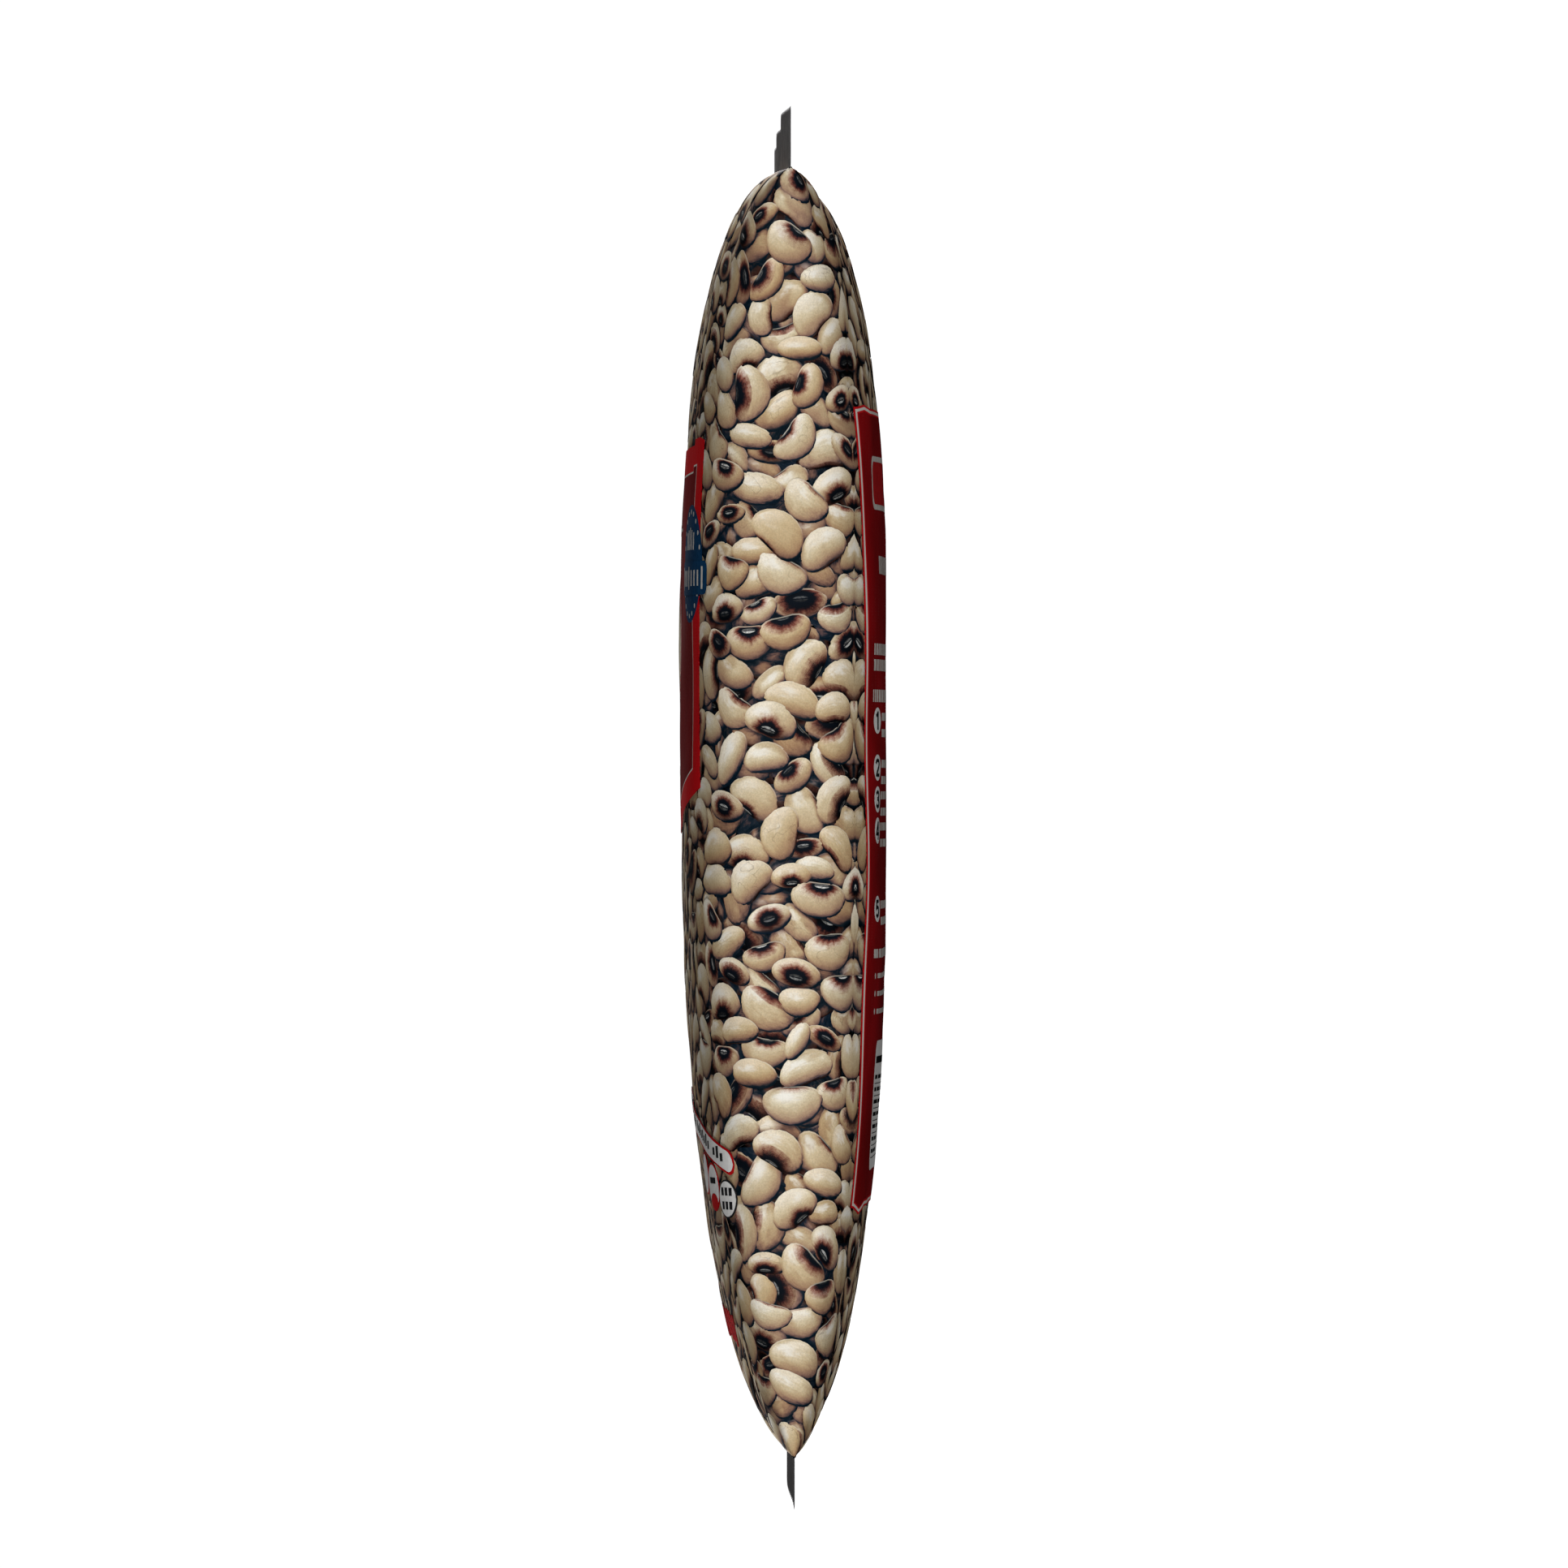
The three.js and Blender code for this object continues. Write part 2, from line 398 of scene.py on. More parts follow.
INKS = {
    "red": ((0.44, 0.004, 0.006), (0.56, 0.008, 0.011)),
    "blue": ((0.003, 0.034, 0.095), (0.006, 0.052, 0.135)),
    "pale": ((0.56, 0.52, 0.48), (0.70, 0.66, 0.61)),
    "white": ((0.80, 0.79, 0.77), (0.92, 0.91, 0.89)),
    "cream": ((0.66, 0.56, 0.38), (0.78, 0.69, 0.50)),
    "ink": ((0.010, 0.010, 0.012), (0.024, 0.023, 0.025)),
}
FILM_GLOSS, LABEL_GLOSS = 0.05, 0.03
CRINKLE_HEIGHT = 0.6 * MM

# Half the length and half the depth of a usual pea, of its eye and of its scar.
PEA_HALVES = (4.9, 3.0)
EYE_HALVES = (2.15, 1.60)
SCAR_HALVES = (1.3, 0.6)


class Nodes:
    """A tree of nodes. Colours are three numbers."""

    def __init__(self, tree):
        self.tree = tree

    def feed(self, socket, value):
        if isinstance(value, bpy.types.NodeSocket):
            self.tree.links.new(value, socket)
        else:
            socket.default_value = (*value, 1) if socket.type == "RGBA" else value

    def add(self, kind, inputs=None, **settings):
        node = self.tree.nodes.new(kind)
        for key, value in settings.items():
            setattr(node, key, value)
        for socket, value in (inputs or {}).items():
            self.feed(node.inputs[socket], value)
        return node

    def show(self, output, share, a, b):
        """Feeds the tree's output a mix of two shaders."""
        both = self.add("ShaderNodeMixShader", {0: share, 1: a.outputs[0], 2: b.outputs[0]})
        self.feed(self.tree.nodes[output].inputs["Surface"], both.outputs[0])

    def math(self, operation, *values, clamp=False):
        inputs = dict(enumerate(values))
        return self.add("ShaderNodeMath", inputs, operation=operation, use_clamp=clamp).outputs[0]

    def plus(self, value, *others):
        for other in others:
            value = self.math("ADD", value, other)
        return value

    def times(self, value, *others):
        for other in others:
            value = self.math("MULTIPLY", value, other)
        return value

    def swing(self, value, amount):
        """How far a value is from a half, times an amount."""
        return self.times(self.math("SUBTRACT", value, 0.5), amount)

    def vector(self, operation, *values):
        node = self.add("ShaderNodeVectorMath", dict(enumerate(values)), operation=operation)
        return node.outputs["Value" if operation in ("DOT_PRODUCT", "LENGTH") else "Vector"]

    def step(self, value, start, end, low_end=0.0, high_end=1.0):
        """Rises smoothly from low_end at start to high_end at end."""
        inputs = {"Value": value, "From Min": start, "From Max": end, "To Min": low_end, "To Max": high_end}
        return self.add("ShaderNodeMapRange", inputs, interpolation_type="SMOOTHSTEP").outputs[0]

    def mix(self, share, a, b, blend="MIX"):
        node = self.add("ShaderNodeMix", {0: share, 6: a, 7: b}, data_type="RGBA", blend_type=blend)
        return node.outputs[2]

    def tinted(self, colour, tint):
        return self.mix(1.0, colour, tint, "MULTIPLY")

    def parts(self, vector):
        return self.add("ShaderNodeSeparateXYZ", {0: vector}).outputs

    def fact(self, name):
        """A fact kept at the mesh's points, whole and as its three numbers."""
        vector = self.add("ShaderNodeAttribute", attribute_name=name).outputs["Vector"]
        return vector, *self.parts(vector)

    def thrice(self, value):
        """A vector of one value along each axis."""
        return self.add("ShaderNodeCombineXYZ", {0: value, 1: value, 2: value}).outputs[0]

    def grey(self, value):
        """A grey of that brightness."""
        return self.add("ShaderNodeCombineColor", {0: value, 1: value, 2: value}).outputs[0]

    def noise(self, vector, scale, detail=2.0, roughness=0.5):
        inputs = {"Vector": vector, "Scale": scale, "Detail": detail, "Roughness": roughness}
        return self.add("ShaderNodeTexNoise", inputs).outputs[0]

    def in_place(self):
        """The place in millimetres."""
        return self.vector("MULTIPLY", self.add("ShaderNodeTexCoord").outputs["Object"], (1 / MM,) * 3)

    def ramp(self, value, stops):
        """Colours along a value, as (where, red, green, blue)."""
        node = self.add("ShaderNodeValToRGB", {0: value})
        elements = node.color_ramp.elements
        while len(elements) < len(stops):
            elements.new(0.5)
        for element, (at, *colour) in zip(elements, stops):
            element.position = at
            element.color = (*colour, 1)
        return node.outputs[0]


class Shader(Nodes):
    """One material with its nodes."""

    def __init__(self, name):
        self.material = bpy.data.materials.new(name)
        self.material.use_nodes = True
        super().__init__(self.material.node_tree)
        self.surface = self.tree.nodes["Principled BSDF"]

    def finish(self, colour, roughness, gloss):
        names = ("Base Color", "Roughness", "Specular IOR Level")
        for name, value in zip(names, (colour, roughness, gloss)):
            self.feed(self.surface.inputs[name], value)

    def film_finish(self, colour, gloss=FILM_GLOSS):
        """Satin film: its colour, uneven gloss, and crinkles too fine for the mesh."""
        place = self.in_place()
        grain = self.noise(place, 0.9, 3.0, 0.6)
        crinkle = self.noise(place, 0.11, 4.0, 0.55)
        self.finish(colour, self.step(grain, 0.25, 0.75, 0.50, 0.62), gloss)
        height = self.plus(crinkle, self.times(grain, 0.05))
        bump = self.add("ShaderNodeBump", {"Height": height, "Strength": 0.3, "Distance": CRINKLE_HEIGHT})
        self.feed(self.surface.inputs["Normal"], bump.outputs[0])
        return self.material


def gap_material():
    """The print's dark ground, seen between the peas, and the bare grey film of the seals."""
    s = Shader("film_ground")
    place = s.in_place()
    ground = s.ramp(s.noise(place, 0.8, 4.0, 0.7), GROUND_COLOURS)
    streaks = s.noise(s.vector("MULTIPLY", place, (0.25, 0.9, 0.9)), 1.2, 3.0, 0.6)
    grey = s.ramp(streaks, SEAL_COLOURS)
    along = s.parts(place)[0]
    at_top = s.math("GREATER_THAN", along, BODY_END - 0.05)
    at_bottom = s.math("LESS_THAN", along, BODY_START + 0.05)
    grey = s.mix(at_top, grey, s.tinted(grey, TOP_SEAL_TINT))
    return s.film_finish(s.mix(s.math("MAXIMUM", at_top, at_bottom), ground, grey))


def pea_skin(s, facing, open_sky, shadow, tint, blotch, fine, wrinkle):
    """The skin's colour in the picture's own light and shade, and how bright that light is."""
    lit = s.plus(s.vector("DOT_PRODUCT", facing, tuple(PICTURE_LIGHT)), s.swing(fine, 0.14))
    lit = s.math("DIVIDE", s.plus(lit, 0.55), 1.5, clamp=True)
    light = s.times(lit, s.step(open_sky, 0.0, 0.84, 0.09, 1.0), s.step(shadow, 0.0, 1.0, 1.0, 0.70))
    light = s.plus(light, s.swing(blotch, 0.34), s.swing(wrinkle, 0.30))
    warm = s.mix(tint, (0.92, 0.81, 0.69), (1.05, 1.04, 1.05))
    grain = s.ramp(s.noise(s.in_place(), 3.2, 1.0, 0.5), ((0.3, 0.90, 0.90, 0.90), (0.7, 1.08, 1.08, 1.08)))
    skin = s.tinted(s.tinted(s.ramp(light, SKIN_COLOURS), warm), grain)
    sheen = s.plus(s.vector("DOT_PRODUCT", facing, tuple(PICTURE_SHEEN)), s.swing(wrinkle, 0.22))
    sheen = s.times(s.step(sheen, 0.90, 1.0), s.step(blotch, 0.42, 0.58, 0.1, 0.6), open_sky)
    return s.mix(sheen, skin, (0.88, 0.86, 0.80)), light


def pea_wrinkles(s, own_seed, chance):
    """Fine wrinkles along the pea, as a height round a half, deeper in some peas than in others."""
    height = s.noise(s.vector("MULTIPLY", own_seed, (1.2, 4.2, 4.2)), 1.7, 2.5, 0.6)
    depth = s.step(chance, 0.25, 0.85, 0.12, 1.0)
    return s.add("ShaderNodeMix", {0: depth, 2: 0.5, 3: height}, data_type="FLOAT").outputs[0]


def pea_creases(s, skin, own_seed, chance):
    """Thin darker creases in the skin of a few peas."""
    line = s.math("ABSOLUTE", s.math("SUBTRACT", s.noise(own_seed, 1.1, 1.5, 0.5), 0.5))
    line = s.times(s.step(line, 0.011, 0.003), s.step(chance, 0.74, 0.86, 0.0, 0.35))
    return s.mix(line, skin, (0.13, 0.075, 0.045))


def eye_reach(s, along, across, size, chance, fine):
    """How far out of the eye a place is, in shares of its size, with ragged streaks along its edge."""
    e = s.times(along, PEA_HALVES[0] / EYE_HALVES[0], size)
    f = s.times(across, PEA_HALVES[1] / EYE_HALVES[1], size)
    place = s.add("ShaderNodeCombineXYZ", {0: e, 1: f, 2: 0.0}).outputs[0]
    reach = s.vector("LENGTH", place)
    ray = s.vector("ADD", s.vector("NORMALIZE", place), s.thrice(s.times(chance, 40.0)))
    streaks = s.times(s.swing(s.noise(ray, 2.6, 4.0, 0.65), 0.85), s.step(reach, 0.5, 1.1))
    return s.plus(reach, streaks, s.swing(fine, 0.5))


def pea_eye(s, skin, light, along, towards_eye, across, fine, chances):
    """The dark eye with its ragged brown edge, and the scar of two pale ridges across it."""
    size = s.step(chances[0], 0.0, 1.0, 1.10, 0.76)
    reach = eye_reach(s, along, across, size, chances[1], fine)
    reach = s.plus(reach, s.step(towards_eye, 0.42, 0.05, 0.0, 4.0))
    stain = s.tinted(s.ramp(s.times(reach, 0.5), STAIN_COLOURS), s.grey(s.plus(s.times(light, 0.95), 0.10)))
    skin = s.mix(s.step(reach, 1.80, 1.15), skin, stain)
    scar_long = s.times(along, PEA_HALVES[0] / SCAR_HALVES[0])
    scar_wide = s.times(across, PEA_HALVES[1] / SCAR_HALVES[1])
    scar = s.plus(s.times(scar_long, scar_long), s.times(scar_wide, scar_wide))
    slit = s.step(s.math("ABSOLUTE", across), 0.022, 0.055)
    patchy = s.step(fine, 0.38, 0.55, 0.25, 1.0)
    scar = s.times(s.step(scar, 1.15, 0.80), s.step(towards_eye, 0.4, 0.65), slit, patchy)
    ridge = s.mix(s.step(chances[2], 0.45, 0.75), (0.10, 0.105, 0.11), (0.78, 0.78, 0.75))
    shine = s.times(s.plus(s.times(light, 0.8), 0.2), s.step(across, -0.14, 0.12, 0.22, 1.0))
    return s.mix(scar, skin, s.tinted(ridge, s.grey(shine)))


def pea_material():
    """The printed peas, each with its own size of eye, tint and blotches."""
    s = Shader("printed_peas")
    seed, along, towards_eye, across = s.fact("seed")
    facing = s.vector("NORMALIZE", s.fact("facing")[0])
    _, open_sky, shadow, tint = s.fact("light")
    drawn = s.add("ShaderNodeTexWhiteNoise", {"W": s.times(tint, 977.0)}, noise_dimensions="1D")
    chances = s.add("ShaderNodeSeparateColor", {0: drawn.outputs["Color"]}).outputs
    own_seed = s.vector("ADD", seed, s.thrice(s.times(tint, 91.0)))
    blotch = s.noise(own_seed, 1.5, 3.0, 0.55)
    fine = s.noise(own_seed, 7.0, 4.0, 0.65)
    wrinkle = pea_wrinkles(s, own_seed, chances[0])
    skin, light = pea_skin(s, facing, open_sky, shadow, tint, blotch, fine, wrinkle)
    skin = pea_creases(s, skin, own_seed, chances[1])
    skin = pea_eye(s, skin, light, along, towards_eye, across, fine, chances)

    # A thin pale rim along the edges that face the picture's light.
    _, upward, outward = s.parts(facing)
    rim = s.times(s.step(outward, 0.40, 0.12), s.step(upward, 0.15, 0.8), open_sky, 0.45)
    return s.film_finish(s.mix(rim, skin, (0.78, 0.71, 0.58)))


def label_material(name, bands, field, side_share):
    """A label: bands of colour in from its edge, as (where the band ends, colour), and then its field."""
    s = Shader(name)
    _, side, top, bottom = s.fact("print")
    inset = s.math("MINIMUM", s.times(side, side_share), s.math("MINIMUM", top, bottom))
    place = s.in_place()
    colour = s.mix(s.step(s.noise(place, 0.05, 3.0, 0.5), 0.35, 0.65), *field)
    for end, band in reversed(bands):
        share = s.math("MULTIPLY", s.math("SUBTRACT", end, inset), 12.0, clamp=True)
        colour = s.mix(share, colour, band)
    dots = s.add("ShaderNodeTexVoronoi", {"Vector": place, "Scale": 1.55, "Randomness": 0.2})
    faint = s.step(s.noise(place, 0.09, 2.0, 0.5), 0.47, 0.62)
    speck = s.times(s.step(dots.outputs["Distance"], 0.22, 0.12), faint, 0.12)
    return s.film_finish(s.mix(speck, colour, (0.75, 0.50, 0.46)), LABEL_GLOSS)


def ink_material(name, dark, light):
    """A plain printed colour, a little uneven."""
    s = Shader(name)
    return s.film_finish(s.mix(s.step(s.noise(s.in_place(), 0.7, 4.0, 0.65), 0.3, 0.7), dark, light))


# ---- The labels' outlines ----

FRONT_HALF = 75.0
FRONT_TOP, FRONT_TOP_SAG = 73.6, 2.0
FRONT_BOTTOM, FRONT_BOTTOM_SAG = 4.0, 9.5
TAB_FROM, TAB_RISE, TAB_SLOPE = 64.0, 1.2, 4  # the raised ends of the front label's upper edge
CORNER, CORNER_SLOPE = 4.5, 0.2  # the slanted corners outside them
BACK_HALF = 80.9
BACK_END = 80.4
POINT_AT, POINT_REACH = 72.5, 6.5  # the points near the back label's corners
POINT_UP, POINT_DOWN = 0.6, 1.5
WAIST = 4.4
COVER_MARGIN = 0.8  # of a label's edge, under which peas still count as seen


def front_edges(u):
    """The front label's lower and upper edges, which sag towards the middle of the bag."""
    sag = 1 - (u / FRONT_HALF) ** 2
    tab = TAB_RISE * ((np.abs(u) - TAB_FROM) * TAB_SLOPE).clip(0, 1)
    corner = CORNER_SLOPE * (np.abs(u) - FRONT_HALF + CORNER).clip(0)
    return FRONT_BOTTOM - FRONT_BOTTOM_SAG * sag, FRONT_TOP - FRONT_TOP_SAG * sag + tab - corner


def back_edges(w):
    """The back label's lower and upper edges. w is the distance from the middle of the back."""
    point = np.maximum(0, 1 - np.abs(np.abs(w) - POINT_AT) / POINT_REACH)
    return -BACK_END - POINT_DOWN * point, BACK_END + POINT_UP * point


def waist(x):
    """How much narrower than its ends each half of the back label is at x."""
    return WAIST * (1 - (x / BACK_END) ** 2).clip(0)


def from_back(u):
    """The distance from the middle of the back, from where u counts from the middle of the front."""
    return (u + 2 * WIDTH) % (2 * WIDTH) - WIDTH


def insets(w, x, half, edges):
    """How far places are inside a label's sides, top and bottom."""
    lower, upper = edges(w)
    return np.stack([half - np.abs(w), upper - x, x - lower], -1)


def under_label(u, x):
    """True where a label covers the film, but for a thin margin at its edge."""
    front = insets(u, x, FRONT_HALF, front_edges).min(-1)
    back = insets(from_back(u), x, BACK_HALF - waist(x), back_edges).min(-1)
    return np.maximum(front, back) > COVER_MARGIN


# ---- The printed peas ----


class Peas:
    """The peas of the picture, as arrays with one entry for each."""

    def __init__(self, rng, count):
        self.half_length = rng.uniform(3.6, 5.5, count)
        self.half_width = np.minimum(self.half_length * rng.uniform(0.60, 0.84, count), 3.7)
        self.half_depth = self.half_width * rng.uniform(0.82, 0.97, count)
        lengthwise = rng.uniform(0, 1, count) < 0.3
        self.turn = np.where(lengthwise, rng.uniform(0, math.pi, count), rng.normal(0, 0.5, count))
        self.turn += math.pi * rng.integers(0, 2, count)
        on_side = rng.normal(0.28, 0.65, count)
        on_side = np.where(rng.integers(0, 2, count), math.pi - on_side, on_side)
        any_way = rng.uniform(0, 2 * math.pi, count)
        self.roll = np.where(rng.uniform(0, 1, count) < 0.62, on_side, any_way)
        self.tilt = rng.normal(0, 0.16, (count, 2))
        self.bend = rng.uniform(0.16, 0.42, count)
        self.notch = rng.uniform(0.06, 0.2, count)
        self.tint = rng.uniform(0, 1, count)
        self.u = np.zeros(count)
        self.x = np.zeros(count)
        self.height = np.zeros(count)

    def section(self, i):
        """Half the width and half the depth of a pea as it is rolled."""
        to_side, to_front = np.cos(self.roll[i]), np.sin(self.roll[i])
        wide = np.hypot(self.half_width[i] * to_side, self.half_depth[i] * to_front)
        deep = np.hypot(self.half_width[i] * to_front, self.half_depth[i] * to_side)
        return wide, deep

    def kidney(self, i, along, across):
        """How far a pea's middle line is bent towards its eye, and its width's share on the eye's side."""
        to_side = np.cos(self.roll[i])
        bent = self.bend[i] * self.section(i)[0] * to_side * (along**2 - 0.35)
        dent = self.notch[i] * np.abs(to_side) * np.exp(-((along / 0.42) ** 2))
        return bent, np.where(across * to_side > 0, 1 - dent, 1.0)


def mirror(u, side):
    """The place across the join on one side, or the same place for side 0."""
    return 2 * JOIN * side - u if side else u


class Heap:
    """Heights of the pictured heap over a grid of places, and which pea shows at each."""

    def __init__(self):
        self.u0 = -JOIN - 2 * PEA_REACH
        self.x0 = BODY_START - 2 * PEA_REACH
        size_u, size_x = -2 * self.u0, BODY_END + 2 * PEA_REACH - self.x0
        shape = (int(size_u / HEAP_CELL), int(size_x / HEAP_CELL))
        self.top = np.zeros(shape)
        self.owner = np.full(shape, -1)
        self.cells = int(PEA_REACH / HEAP_CELL)

    def cell(self, u, x):
        """The nearest cell to a place."""
        row = np.round((u - self.u0) / HEAP_CELL).astype(int).clip(0, self.top.shape[0] - 1)
        column = np.round((x - self.x0) / HEAP_CELL).astype(int).clip(0, self.top.shape[1] - 1)
        return row, column

    def at(self, field, u, x):
        return field[self.cell(u, x)]

    def window(self, row, column):
        """The cells that a pea in one of them may reach."""
        n = self.cells
        return np.s_[row - n : row + n + 1, column - n : column + n + 1]

    def footprint(self, peas, i):
        """Half the thickness of a pea over a window of cells, where it is, and how its tilt raises it."""
        n = self.cells
        du, dx = np.meshgrid(*[np.arange(-n, n + 1) * HEAP_CELL] * 2, indexing="ij")
        c, s = math.cos(peas.turn[i]), math.sin(peas.turn[i])
        wide, deep = peas.section(i)
        along = (du * c + dx * s) / peas.half_length[i]
        across = -du * s + dx * c
        bent, share = peas.kidney(i, along, across)
        across = (across - bent) / (wide * share)
        left = 1 - along**2 - across**2
        return np.sqrt(left.clip(0)) * deep, left > 0, du * peas.tilt[i, 0] + dx * peas.tilt[i, 1]

    def lay(self, peas, i):
        """Lays a pea at its own place and height, over what is there."""
        thick, inside, slope = self.footprint(peas, i)
        window = self.window(*self.cell(peas.u[i], peas.x[i]))
        self.top[window] = np.where(inside, peas.height[i] + slope + thick, self.top[window])
        self.owner[window] = np.where(inside, i, self.owner[window])

    def drop(self, peas, i, rng):
        """Drops a pea at the lowest of a few places."""
        thick, inside, slope = self.footprint(peas, i)
        n = self.cells
        rows = rng.integers(n, self.top.shape[0] - n, PEA_LOOKS)
        columns = rng.integers(n, self.top.shape[1] - n, PEA_LOOKS)
        around = sum(self.top[rows + a, columns + b] for a, b in LOOK_AROUND)
        best = None
        for k in np.argsort(around, kind="stable")[:PEA_TRIES]:
            height = (self.top[self.window(rows[k], columns[k])] + thick - slope)[inside].max()
            if best is None or height < best[0]:
                best = (height, rows[k], columns[k])
        peas.height[i] = best[0]
        peas.u[i] = self.u0 + best[1] * HEAP_CELL
        peas.x[i] = self.x0 + best[2] * HEAP_CELL
        self.lay(peas, i)

    def shown(self, count, side=0):
        """How many cells show each pea, in the picture or in its copy mirrored across one side's join."""
        u = self.u0 + np.arange(self.top.shape[0])[:, None] * HEAP_CELL
        x = self.x0 + np.arange(self.top.shape[1])[None, :] * HEAP_CELL
        cut = np.abs(u) > JOIN if side == 0 else (u * side > JOIN) | (u * side < 2 * JOIN - WIDTH)
        hidden = cut | under_label(mirror(u, side) + 0 * x, x + 0 * u) | (x < BODY_START) | (x > BODY_END)
        return np.bincount(self.owner[(self.owner >= 0) & ~hidden], minlength=count)

    def stack(self, peas, chosen):
        """The level of each chosen pea, one more than that of the highest chosen pea under it."""
        levels = np.zeros(self.top.shape, int)
        found = np.zeros(len(chosen), int)
        for k, i in enumerate(chosen):
            window = self.window(*self.cell(peas.u[i], peas.x[i]))
            inside = self.footprint(peas, i)[1]
            found[k] = levels[window][inside].max() + 1
            levels[window] = np.where(inside, found[k], levels[window])
        return found


def blurred(field, reach):
    """A field averaged over about that many cells each way, by three passes of a running mean."""
    for _ in range(3):
        for axis in (0, 1):
            field = sum(np.roll(field, shift, axis) for shift in range(-reach, reach + 1)) / (2 * reach + 1)
    return field


SEGMENTS = 22
RINGS = (1.0, 0.87, 0.68, 0.46, 0.23)  # how far out each ring of a pea's mesh is
UNDER = -0.58  # the height of the point that closes a pea's mesh underneath


def dome():
    """Points on a unit dome, ring by ring up to its top and then one under it, and its triangles."""
    turn = np.arange(SEGMENTS) * 2 * math.pi / SEGMENTS
    c, s = np.cos(turn), np.sin(turn)
    rings = [np.stack([r * c, r * s, 0 * turn + math.sqrt(1 - r * r)], -1) for r in RINGS]
    points = np.concatenate([*rings, [[0, 0, 1], [0, 0, 0]]])
    quads = grid_faces(len(RINGS), SEGMENTS, closed=True)
    top, under = len(points) - 2, len(points) - 1
    k = np.arange(SEGMENTS)
    beyond = (k + 1) % SEGMENTS
    last = top - SEGMENTS
    cap = np.stack([last + k, last + beyond, np.full(SEGMENTS, top)], -1)
    base = np.stack([beyond, k, np.full(SEGMENTS, under)], -1)
    return points, np.concatenate([quads[:, [0, 1, 2]], quads[:, [0, 2, 3]], cap, base])


class PeaMeshes:
    """Every shown pea's points, with their places on the film, heights and facts."""

    def __init__(self, peas, chosen):
        unit, self.faces = dome()
        i = chosen[:, None]
        px, py, pz = unit.T
        self.crown = PEA_CROWN * pz
        wide, deep = peas.section(i)
        bent, share = peas.kidney(i, px, py)
        along = peas.half_length[i] * px
        across = wide * py * share + bent
        c, s = np.cos(peas.turn[i]), np.sin(peas.turn[i])
        du, dx = along * c - across * s, along * s + across * c
        self.u = peas.u[i] + du
        self.x = peas.x[i] + dx
        self.depth = peas.height[i] + du * peas.tilt[i, 0] + dx * peas.tilt[i, 1] + deep * pz
        to_side, to_front = np.cos(peas.roll[i]), np.sin(peas.roll[i])
        self.seed = np.stack([px + 0 * i, py * to_side + pz * to_front, pz * to_side - py * to_front], -1)
        n_along, n_across, n_out = px / peas.half_length[i], py / wide, pz / deep
        sloped = np.stack([n_along * c - n_across * s, n_along * s + n_across * c, n_out], -1)
        sloped[:, -1] = (0, 0, 1)
        self.facing = sloped / np.linalg.norm(sloped, axis=-1, keepdims=True)
        self.tint = peas.tint[i] + 0 * px
        self.centre = peas.u[chosen]

    def light_by(self, heap):
        """Finds how open each point is to the picture's sky, and how far it is in a neighbour's shadow."""
        near, wide = (heap.at(blurred(heap.top, reach), self.u, self.x) - self.depth for reach in (2, 6))
        open_sky = (1 - ((near - 0.7) / 4.2).clip(0, 1)) * (1 - ((wide - 2) / 16).clip(0, 0.5))
        towards_u, towards_x, rise = PICTURE_LIGHT / math.hypot(PICTURE_LIGHT.x, PICTURE_LIGHT.y)
        shadow = np.zeros_like(self.u)
        for distance in (1.2, 2.2, 3.4, 5.0):
            ridge = heap.at(heap.top, self.u + towards_u * distance, self.x + towards_x * distance)
            shadow = np.maximum(shadow, (ridge - self.depth - distance * rise) / 1.8)
        self.light = np.stack([open_sky, shadow.clip(0, 1), self.tint], -1)

    def lift(self, rims, covered=None):
        """Sets the heights above the film from each pea's rim height, tucked in where it is covered."""
        self.height = rims[:, None] + self.crown
        if covered is not None:
            self.height = np.where(covered, self.height - PEA_TUCK, self.height)
        self.height[:, -1] = UNDER

    def part(self, chosen, side=0, cut=JOIN):
        """Flat lists for the peas chosen: points, normals, faces and facts. Each is cut at the joins."""
        u = self.u[chosen].ravel()
        u = u.clip(-cut, cut) if side == 0 else side * (side * u).clip(2 * JOIN - WIDTH, JOIN)
        x = self.x[chosen].ravel().clip(BODY_START, BODY_END)
        place, normal = raised(mirror(u, side), x, self.height[chosen].ravel())
        first = np.arange(chosen.sum())[:, None, None] * self.u.shape[1]
        faces = self.faces[:, ::-1] if side else self.faces
        faces = (faces[None] + first).reshape(-1, 3)
        facts = {k: getattr(self, k)[chosen].reshape(-1, 3) for k in ("seed", "facing", "light")}
        return place, normal, faces, facts


def make_pea_piece(name, groups, material):
    """One piece from the flat lists of several groups of peas."""
    points, normals, faces, facts = zip(*groups)
    starts = np.cumsum([0] + [len(group) for group in points])
    faces = np.concatenate([group + start for group, start in zip(faces, starts)])
    facts = {k: np.concatenate([group[k] for group in facts]) for k in facts[0]}
    make_piece(name, np.concatenate(points), faces, material, np.concatenate(normals), **facts)


ZONES = {  # each piece of peas, and the distances round the film between which their middles lie
    "front_near": (0, 70),
    "side_near": (70, 120),
    "back_near": (120, 200),
    "front_far": (-70, 0),
    "side_far": (-120, -70),
    "back_far": (-200, -120),
}


def in_zone(u, zone):
    """Which places round the film are in a zone."""
    start, end = ZONES[zone]
    wrapped = from_back(u + WIDTH)
    return (wrapped >= start) & (wrapped < end)


